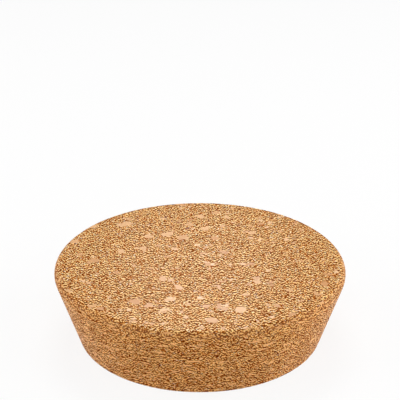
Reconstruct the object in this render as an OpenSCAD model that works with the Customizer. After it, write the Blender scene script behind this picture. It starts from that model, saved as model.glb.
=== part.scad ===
// Tapered stopper for a wide-mouthed jar, turned in one piece from agglomerated cork.
// It stands on its narrow foot, with the origin at the middle of the foot and +Z up.

/* [Stopper] */
// Widest diameter, on the shoulder just under the top face
top_d = 95; // [85:1:140]
// Diameter of the foot, measured to the sharp corner that its rounding takes off
foot_d = 80; // [40:1:84]
// Height from the foot to the top face
height = 25; // [12:1:80]

/* [Edges] */
// Width of the bevel round the top face, measured along the radius
bevel_w = 0.6; // [0.2:0.1:2]
// Slope of that bevel below the top face, in degrees
bevel_angle = 40; // [20:1:60]
// Radius of the shoulder, where the bevel turns into the tapered side
shoulder_r = 2.4; // [0.5:0.1:4]
// Radius of the rounding at the foot
foot_r = 0.5; // [0.2:0.1:3]

/* [Hidden] */
$fn = 180;
arc_steps = 12;

top_r = top_d / 2;
foot_corner_r = foot_d / 2;

// Centre of the shoulder's arc, which meets the bevel edge on, without a corner
shoulder_x = top_r - shoulder_r;
shoulder_z = height - bevel_w * tan(bevel_angle) - shoulder_r * cos(bevel_angle);
top_face_r = shoulder_x + shoulder_r * sin(bevel_angle) - bevel_w;

// Taper of the side from upright: it leaves the foot's corner and touches the shoulder's arc
corner_to_shoulder = norm([shoulder_x - foot_corner_r, shoulder_z]);
taper = acos(-shoulder_r / corner_to_shoulder) - atan2(shoulder_z, shoulder_x - foot_corner_r);

// The foot's rounding touches the foot face and the side at one distance from their corner
foot_face_r = foot_corner_r - foot_r / tan((90 + taper) / 2);

// Points along an arc of radius r about [x, z], from one angle to another
function arc(x, z, r, from, to) = [
    for (i = [0 : arc_steps])
        let (angle = from + (to - from) * i / arc_steps)
        [x + r * cos(angle), z + r * sin(angle)]
];

// Right half of the section, outwards along the foot, up the side and back along the top
module half_section() {
    polygon(concat(
        [[0, 0]],
        arc(foot_face_r, foot_r, foot_r, -90, -taper),
        arc(shoulder_x, shoulder_z, shoulder_r, -taper, 90 - bevel_angle),
        [[top_face_r, height], [0, height]]
    ));
}

// The whole stopper: one turned piece of cork
module stopper() {
    color("#cd9965")
        rotate_extrude()
            half_section();
}

stopper();
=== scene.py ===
import math

import bpy
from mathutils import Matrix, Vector


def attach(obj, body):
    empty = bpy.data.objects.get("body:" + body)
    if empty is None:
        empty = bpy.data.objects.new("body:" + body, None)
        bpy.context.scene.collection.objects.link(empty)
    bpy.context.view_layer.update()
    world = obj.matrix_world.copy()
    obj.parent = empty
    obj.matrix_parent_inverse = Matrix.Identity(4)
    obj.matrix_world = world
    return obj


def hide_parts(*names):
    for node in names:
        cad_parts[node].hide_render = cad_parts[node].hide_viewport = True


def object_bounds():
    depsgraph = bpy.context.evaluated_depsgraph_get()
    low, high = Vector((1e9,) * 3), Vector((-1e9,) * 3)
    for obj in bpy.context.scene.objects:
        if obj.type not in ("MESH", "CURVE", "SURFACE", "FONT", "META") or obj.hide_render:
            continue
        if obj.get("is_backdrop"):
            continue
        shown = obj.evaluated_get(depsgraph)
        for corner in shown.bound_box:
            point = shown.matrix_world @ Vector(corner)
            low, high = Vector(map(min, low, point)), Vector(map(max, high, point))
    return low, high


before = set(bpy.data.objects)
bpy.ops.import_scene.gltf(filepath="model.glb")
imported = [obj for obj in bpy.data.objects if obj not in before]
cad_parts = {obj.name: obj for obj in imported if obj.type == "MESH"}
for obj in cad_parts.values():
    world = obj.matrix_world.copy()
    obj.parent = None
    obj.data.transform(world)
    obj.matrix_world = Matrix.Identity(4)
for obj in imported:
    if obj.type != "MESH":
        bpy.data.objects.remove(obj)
cad_low, cad_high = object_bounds()
bpy.ops.object.select_all(action="DESELECT")

# ---------------------------------------------------------------------------
# Stopper
# One piece of agglomerated cork: granules pressed into a block with a little
# binder, then turned to a taper and sanded. It stands loose on its narrow foot.
# ---------------------------------------------------------------------------
MM = 0.001
top_r = cad_high.x
height = cad_high.z
foot_corner_r = 40 * MM
bevel_w = 0.6 * MM
bevel_angle = math.radians(40)
shoulder_r = 2.4 * MM
foot_r = 0.5 * MM

shoulder_x = top_r - shoulder_r
shoulder_z = height - bevel_w * math.tan(bevel_angle) - shoulder_r * math.cos(bevel_angle)
corner_to_shoulder = math.hypot(shoulder_x - foot_corner_r, shoulder_z)
taper = math.acos(-shoulder_r / corner_to_shoulder) - math.atan2(shoulder_z, shoulder_x - foot_corner_r)
top_face_r = shoulder_x + shoulder_r * math.sin(bevel_angle) - bevel_w
foot_face_r = foot_corner_r - foot_r / math.tan((math.pi / 2 + taper) / 2)

# The faces and the side have cells of about half a millimetre, small enough to carry the relief.
cells_across = 164
side_steps = 50


def arc(x, z, r, start, end, steps):
    """Points along an arc in the section, each a radius and a height."""
    angles = [start + (end - start) * i / steps for i in range(steps + 1)]
    return [(x + r * math.cos(a), z + r * math.sin(a)) for a in angles]


def between(start, end, steps):
    """Points strictly between two points of the section."""
    shares = [i / steps for i in range(1, steps)]
    return [tuple(a + (b - a) * s for a, b in zip(start, end)) for s in shares]


foot_arc = arc(foot_face_r, foot_r, foot_r, -math.pi / 2, -taper, 3)
shoulder_arc = arc(shoulder_x, shoulder_z, shoulder_r, -taper, math.pi / 2 - bevel_angle, 7)
top_edge = (top_face_r, height)
section = (
    foot_arc
    + between(foot_arc[-1], shoulder_arc[0], side_steps)
    + shoulder_arc
    + between(shoulder_arc[-1], top_edge, 2)
    + [top_edge]
)

bpy.ops.mesh.primitive_circle_add(vertices=4 * cells_across, radius=section[0][0], location=(0, 0, 0))
stopper = bpy.context.object
stopper.name = "cork_body"
bpy.ops.object.mode_set(mode="EDIT")
bpy.ops.mesh.select_all(action="SELECT")
bpy.ops.mesh.fill_grid(span=cells_across)
bpy.ops.mesh.select_all(action="DESELECT")
bpy.ops.mesh.select_non_manifold(extend=False)
for (r0, z0), (r1, z1) in zip(section, section[1:]):
    bpy.ops.mesh.extrude_edges_move(TRANSFORM_OT_translate={"value": (0, 0, z1 - z0)})
    bpy.ops.transform.resize(value=(r1 / r0, r1 / r0, 1), center_override=(0, 0, z1))
bpy.ops.mesh.fill_grid(span=cells_across)
bpy.ops.mesh.select_all(action="SELECT")
bpy.ops.mesh.normals_make_consistent(inside=False)
bpy.ops.object.mode_set(mode="OBJECT")
bpy.ops.object.shade_smooth()


def srgb(code):
    """Turns an sRGB hex colour into the linear colour that a socket holds."""
    values = [int(code[i : i + 2], 16) / 255 for i in (1, 3, 5)]
    return [v / 12.92 if v <= 0.04045 else ((v + 0.055) / 1.055) ** 2.4 for v in values] + [1]


def add(tree, kind, inputs=(), **settings):
    """Adds a node with its settings, and links or sets its inputs, by name or in order.
    A node given as an input stands for its first output in use."""
    node = tree.nodes.new(kind)
    for name, value in settings.items():
        setattr(node, name, value)
    sockets = [socket for socket in node.inputs if socket.enabled]
    for key, value in inputs.items() if isinstance(inputs, dict) else enumerate(inputs):
        socket = sockets[key] if isinstance(key, int) else next(s for s in sockets if s.name == key)
        if isinstance(value, bpy.types.Node):
            value = next(output for output in value.outputs if output.enabled)
        if isinstance(value, bpy.types.NodeSocket):
            tree.links.new(value, socket)
        else:
            socket.default_value = value
    return node


# Relief, carved inward only: the shallow hollows that sanding leaves between lumps.
lump_mm = 1.7
hollow_depth = 0.04 * MM
hollow_floor = 0.35
hollow_brim = 0.62
relief = bpy.data.node_groups.new("cork relief", "GeometryNodeTree")
relief.interface.new_socket("Geometry", in_out="INPUT", socket_type="NodeSocketGeometry")
relief.interface.new_socket("Geometry", in_out="OUTPUT", socket_type="NodeSocketGeometry")
blank = add(relief, "NodeGroupInput")
place = add(relief, "GeometryNodeInputPosition")
lump = add(relief, "ShaderNodeTexNoise", {"Vector": place, "Scale": 1 / (lump_mm * MM), "Detail": 1.0})
inward = add(relief, "ShaderNodeMapRange", [lump, hollow_floor, hollow_brim, -hollow_depth, 0.0])
outward = add(relief, "GeometryNodeInputNormal")
move = add(relief, "ShaderNodeVectorMath", {"Vector": outward, "Scale": inward}, operation="SCALE")
carved = add(relief, "GeometryNodeSetPosition", {"Geometry": blank, "Offset": move})
add(relief, "NodeGroupOutput", [carved])
modifier = stopper.modifiers.new("cork relief", "NODES")
modifier.node_group = relief
bpy.ops.object.modifier_apply(modifier=modifier.name)

# Agglomerated cork, sanded and unfinished. The eye meets a fine, dry grain of pale crests over
# brown hollows. On the side the granules are cut edge-on, and painted shade makes it a deeper orange.
# Smooth flakes lie among it, and the crests and flakes keep a faint silky sheen while the hollows are
# dead matt.
cork = bpy.data.materials.new("agglomerated cork")
cork.use_nodes = True
tree = cork.node_tree
shader = tree.nodes["Principled BSDF"]
metres = add(tree, "ShaderNodeTexCoord").outputs["Object"]
place = add(tree, "ShaderNodeVectorMath", {"Vector": metres, "Scale": 1 / MM}, operation="SCALE")

# The same share also places the side's painted shade below.
# The side fades into the two faces over the rounded rims.
middle_mm = height / MM / 2
fade_start = middle_mm - 0.8
fade_end = middle_mm - 0.1
up = add(tree, "ShaderNodeSeparateXYZ", [place]).outputs["Z"]
from_middle = add(tree, "ShaderNodeMath", [up, middle_mm], operation="SUBTRACT")
from_middle = add(tree, "ShaderNodeMath", [from_middle], operation="ABSOLUTE")
edge_on_and_shade = add(tree, "ShaderNodeMapRange", [from_middle, fade_start, fade_end, 1.0, 0.0])

# Grain: how far a spot stands out from the spots on its two sides, along the face. The granules
# are pressed a little flat, and turned so that no face lies along the lattice of a pattern.
grain_mm = 0.59
pressing = (1.15, 1, 1.4)
turn_axis = (1, 2, 3)
turn = 0.9
pressed = add(tree, "ShaderNodeVectorMath", [place, pressing], operation="MULTIPLY")
turned = add(tree, "ShaderNodeVectorRotate", {"Vector": pressed, "Axis": turn_axis, "Angle": turn})
gaps = {"Factor": edge_on_and_shade, "A": (0, grain_mm, 0), "B": (0, 0, grain_mm)}
gap = add(tree, "ShaderNodeMix", gaps, data_type="VECTOR")
step = add(tree, "ShaderNodeVectorRotate", {"Vector": gap, "Axis": turn_axis, "Angle": turn})
before = add(tree, "ShaderNodeVectorMath", [turned, step], operation="SUBTRACT")
behind = add(tree, "ShaderNodeVectorMath", [turned, step], operation="ADD")
here, front, back = [
    add(tree, "ShaderNodeTexNoise", {"Vector": spot, "Scale": 1 / grain_mm, "Detail": 0.0})
    for spot in (turned, before, behind)
]
around = add(tree, "ShaderNodeMath", [front, back], operation="ADD")
grain = add(tree, "ShaderNodeMath", [around, -0.5, here], operation="MULTIPLY_ADD")

# Crest is 0 in the hollows and 1 on the granules, and the cut edges on the side are the more open.
# A crumb of dust and torn cells roughens both: it is drawn twice as coarse as it is, so as to show.
grain_swing = 0.17
crumb_mm = 0.46
crumb = add(tree, "ShaderNodeTexNoise", {"Vector": turned, "Scale": 1 / crumb_mm, "Detail": 0.0})
crumb = add(tree, "ShaderNodeMapRange", [crumb, 0.42, 0.58, -0.5, 0.5])
crest = add(tree, "ShaderNodeMapRange", [grain, -grain_swing, grain_swing, -0.02, 0.98], clamp=False)
crest = add(tree, "ShaderNodeMath", [crest, crumb], operation="ADD")
open_crest = add(tree, "ShaderNodeMapRange", [crest, 0.0, 1.0, -0.2, 1.2], clamp=False)
crest = add(tree, "ShaderNodeMix", {"Factor": edge_on_and_shade, "A": crest, "B": open_crest})
granules = add(tree, "ShaderNodeValToRGB", [crest])
browns = ((0.0, "#5c1e00"), (0.3, "#9e4801"), (0.6, "#d07c1f"), (0.85, "#eda653"), (1.0, "#ffd88f"))
stops = granules.color_ramp.elements
for at, code in browns:
    stop = stops[0] if at == 0.0 else stops[-1] if at == 1.0 else stops.new(at)
    stop.color = srgb(code)
colour = granules

# Flecks of cell wall, which are pale, and of bark, which are dark: their spacing, and their share of
# the spots. A fleck's radius is 0.3 to 0.5 of the spacing.
fleck_mm = 0.5
pale_share = 0.06
dark_share = 0.03
fleck_kinds = (("LESS_THAN", pale_share, "#fff6dc"), ("GREATER_THAN", 1 - dark_share, "#4a1800"))
fleck = add(tree, "ShaderNodeTexVoronoi", {"Vector": turned, "Scale": 1 / fleck_mm})
chance, size, _ = add(tree, "ShaderNodeSeparateXYZ", [fleck.outputs["Color"]]).outputs
reach = add(tree, "ShaderNodeMath", [size, 0.2, 0.3], operation="MULTIPLY_ADD")
inside = add(tree, "ShaderNodeMath", [reach, fleck.outputs["Distance"]], operation="GREATER_THAN")
for test, limit, code in fleck_kinds:
    picked = add(tree, "ShaderNodeMath", [chance, limit], operation=test)
    picked = add(tree, "ShaderNodeMath", [picked, inside], operation="MULTIPLY")
    coats = {"Factor": picked, "A": colour, "B": srgb(code)}
    colour = add(tree, "ShaderNodeMix", coats, data_type="RGBA")

# Painted shade: the side is tinted a deeper, darker orange than the faces, standing for the shade the
# side wall lies in.
coats = {"Factor": edge_on_and_shade, "A": colour, "B": srgb("#ffebd3")}
colour = add(tree, "ShaderNodeMix", coats, data_type="RGBA", blend_type="MULTIPLY")

# Smooth flakes of cork, six times as wide as thick: their spacing in mm, their share of the spots
# and their tones. The side cuts across them, so there they are thin, paler streaks.
flake_kinds = (
    (5.2, 0.42, "#c88c54", "#e2b07c"),
    (2.9, 0.26, "#cb905a", "#eec294"),
    (2.2, 0.02, "#6a3a16", "#a0602a"),
)
silk = crest
flake_flatness = 6
streak_strength = 0.8
flake_silk = 0.85
cut_across = add(tree, "ShaderNodeMath", [edge_on_and_shade, streak_strength], operation="MULTIPLY")
flat = add(tree, "ShaderNodeVectorMath", [place, (1, 1, flake_flatness)], operation="MULTIPLY")
flat = add(tree, "ShaderNodeVectorRotate", {"Vector": flat, "Axis": (3, 1, 2), "Angle": 0.7})
for spacing, share, low, high in flake_kinds:
    bend = add(tree, "ShaderNodeTexNoise", {"Vector": flat, "Scale": 2.1 / spacing, "Detail": 3.0})
    ragged = [bend.outputs["Color"], (spacing, spacing, spacing), flat]
    ragged = add(tree, "ShaderNodeVectorMath", ragged, operation="MULTIPLY_ADD")
    cell = add(tree, "ShaderNodeTexVoronoi", {"Vector": ragged, "Scale": 1 / spacing})
    chance, size, tone = add(tree, "ShaderNodeSeparateXYZ", [cell.outputs["Color"]]).outputs
    reach = add(tree, "ShaderNodeMath", [size, 0.2, 0.2], operation="MULTIPLY_ADD")
    inside = add(tree, "ShaderNodeMath", [reach, cell.outputs["Distance"]], operation="SUBTRACT")
    flake = add(tree, "ShaderNodeMapRange", [inside, 0.0, 0.04])
    picked = add(tree, "ShaderNodeMath", [chance, share], operation="LESS_THAN")
    flake = add(tree, "ShaderNodeMath", [flake, picked], operation="MULTIPLY")
    tones = {"Factor": tone, "A": srgb(low), "B": srgb(high)}
    coat = add(tree, "ShaderNodeMix", tones, data_type="RGBA")
    tones = {"Factor": cut_across, "A": coat, "B": srgb("#ffbe78")}
    coat = add(tree, "ShaderNodeMix", tones, data_type="RGBA")
    coats = {"Factor": flake, "A": colour, "B": coat}
    colour = add(tree, "ShaderNodeMix", coats, data_type="RGBA")
    silk = add(tree, "ShaderNodeMix", {"Factor": flake, "A": silk, "B": flake_silk})

# Handling has rubbed the grain of the upper rim a little smoother.
rub_level = height / MM - 1.3
rub_strength = 0.3
off_rim = add(tree, "ShaderNodeMath", [up, rub_level], operation="SUBTRACT")
off_rim = add(tree, "ShaderNodeMath", [off_rim], operation="ABSOLUTE")
rub = add(tree, "ShaderNodeMapRange", [off_rim, 0.5, 1.25, rub_strength, 0.0])
coats = {"Factor": rub, "A": colour, "B": srgb("#b07c4e")}
colour = add(tree, "ShaderNodeMix", coats, data_type="RGBA")
tree.links.new(next(output for output in colour.outputs if output.enabled), shader.inputs["Base Color"])

# From the hollows to the crests and flakes the surface goes from dead matt to a faint sheen.
matt = 0.2
silky = 0.9
grain_height = 0.05 * MM
gloss = add(tree, "ShaderNodeMapRange", [silk, matt, silky, 0.0, 0.15])
tree.links.new(gloss.outputs["Result"], shader.inputs["Specular IOR Level"])
dullness = add(tree, "ShaderNodeMapRange", [silk, matt, silky, 0.5, 0.34])
tree.links.new(dullness.outputs["Result"], shader.inputs["Roughness"])
bump = add(tree, "ShaderNodeBump", {"Height": silk, "Distance": grain_height})
tree.links.new(bump.outputs["Normal"], shader.inputs["Normal"])
stopper.data.materials.append(cork)

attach(stopper, "root")
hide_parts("stopper")

# ---------------------------------------------------------------------------
# Camera
# A long lens in front of the stopper and 28 degrees above it, tipped up a
# little from its middle so that it stands low in a square frame.
# ---------------------------------------------------------------------------
frame_px = 400
lens_px = 1357.8
camera_distance = 0.450
camera_elevation = math.radians(28.28)
tip_up = math.radians(4.004)

camera_data = bpy.data.cameras.new("camera")
camera_data.sensor_width = 36
camera_data.lens = lens_px * camera_data.sensor_width / frame_px
camera = bpy.data.objects.new("camera", camera_data)
bpy.context.collection.objects.link(camera)
toward_camera = Vector((0, -math.cos(camera_elevation), math.sin(camera_elevation)))
camera.location = Vector((0, 0, height / 2)) + toward_camera * camera_distance
camera.rotation_euler = (math.pi / 2 - camera_elevation + tip_up, 0, 0)
bpy.context.scene.camera = camera

# ---------------------------------------------------------------------------
# Floor
# A sheet of matt white paper. The camera sees it close to pure white, as under
# an overexposed sweep, and the stopper's soft contact shadow still lies on it.
# ---------------------------------------------------------------------------
bpy.ops.mesh.primitive_plane_add(size=8, location=(0, 0, 0))
floor = bpy.context.object
floor.name = "floor"
floor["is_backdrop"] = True
paper = bpy.data.materials.new("matt white paper")
paper.use_nodes = True
tree = paper.node_tree
surface = tree.nodes["Principled BSDF"]
surface.inputs["Base Color"].default_value = srgb("#f2f2f2")
surface.inputs["Roughness"].default_value = 0.9
surface.inputs["Specular IOR Level"].default_value = 0.2


def seen_by_eye(tree):
    """A factor: 1 as the camera, a sheen or clear glass sees it, and 0 as it lights other things."""
    ray = add(tree, "ShaderNodeLightPath").outputs
    ways = [ray["Is Camera Ray"], ray["Is Glossy Ray"]]
    seen = add(tree, "ShaderNodeMath", ways, operation="MAXIMUM")
    return add(tree, "ShaderNodeMath", [seen, ray["Is Transmission Ray"]], operation="MAXIMUM")


glow_share = 0.85
share = add(tree, "ShaderNodeMath", [seen_by_eye(tree), glow_share], operation="MULTIPLY")
glow = add(tree, "ShaderNodeEmission", {"Color": (1, 1, 1, 1), "Strength": 1.0})
white = add(tree, "ShaderNodeMixShader", [share, surface, glow])
tree.links.new(white.outputs[0], tree.nodes["Material Output"].inputs["Surface"])
floor.data.materials.append(paper)

# ---------------------------------------------------------------------------
# Light
# A plain soft studio: large soft boxes over the back and the front and a pair
# at each side, in a dim white room. A small one low behind the rim gives only
# the faint sheen on the top.
# ---------------------------------------------------------------------------
def softbox(name, place, aim, width, depth, watts):
    """A rectangular soft lamp at a place, turned to face a point."""
    lamp = bpy.data.lights.new(name, "AREA")
    lamp.shape = "RECTANGLE"
    lamp.size = width
    lamp.size_y = depth
    lamp.energy = watts
    rig = bpy.data.objects.new(name, lamp)
    bpy.context.collection.objects.link(rig)
    rig.location = place
    rig.rotation_euler = (Vector(aim) - Vector(place)).to_track_quat("-Z", "Y").to_euler()
    return rig


softbox("back_softbox", (0.0, 0.34, 0.63), (0, 0, 0.02), 0.30, 0.30, 1.75)
softbox("front_softbox", (0.0, -0.45, 0.55), (0, 0, 0.02), 0.40, 0.40, 1.24)
softbox("left_rim_softbox", (-0.65, 0.22, 0.16), (0, 0, 0.01), 0.25, 0.20, 1.72)
softbox("right_rim_softbox", (0.65, 0.22, 0.16), (0, 0, 0.01), 0.25, 0.20, 2.55)
softbox("left_softbox", (-0.55, -0.25, 0.32), (0, 0, 0.01), 0.30, 0.30, 1.12)
softbox("right_softbox", (0.55, -0.25, 0.32), (0, 0, 0.01), 0.30, 0.30, 1.23)
sheen = softbox("sheen_lamp", (0.0, 0.075, 0.083), (0, -0.030, 0.025), 0.06, 0.04, 0.06)
sheen.visible_diffuse = False
sheen.visible_camera = False

# The room lights the stopper dimly; what the camera and the gloss see of it is plain white.
world = bpy.data.worlds.new("studio")
world.use_nodes = True
tree = world.node_tree
room = tree.nodes["Background"]
room.inputs["Color"].default_value = (1, 1, 1, 1)
room.inputs["Strength"].default_value = 0.2
backdrop = add(tree, "ShaderNodeBackground", {"Color": (1, 1, 1, 1), "Strength": 1.0})
sky = add(tree, "ShaderNodeMixShader", [seen_by_eye(tree), room, backdrop])
tree.links.new(sky.outputs[0], tree.nodes["World Output"].inputs["Surface"])
bpy.context.scene.world = world
bpy.context.scene.view_settings.view_transform = "Standard"

low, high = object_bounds()
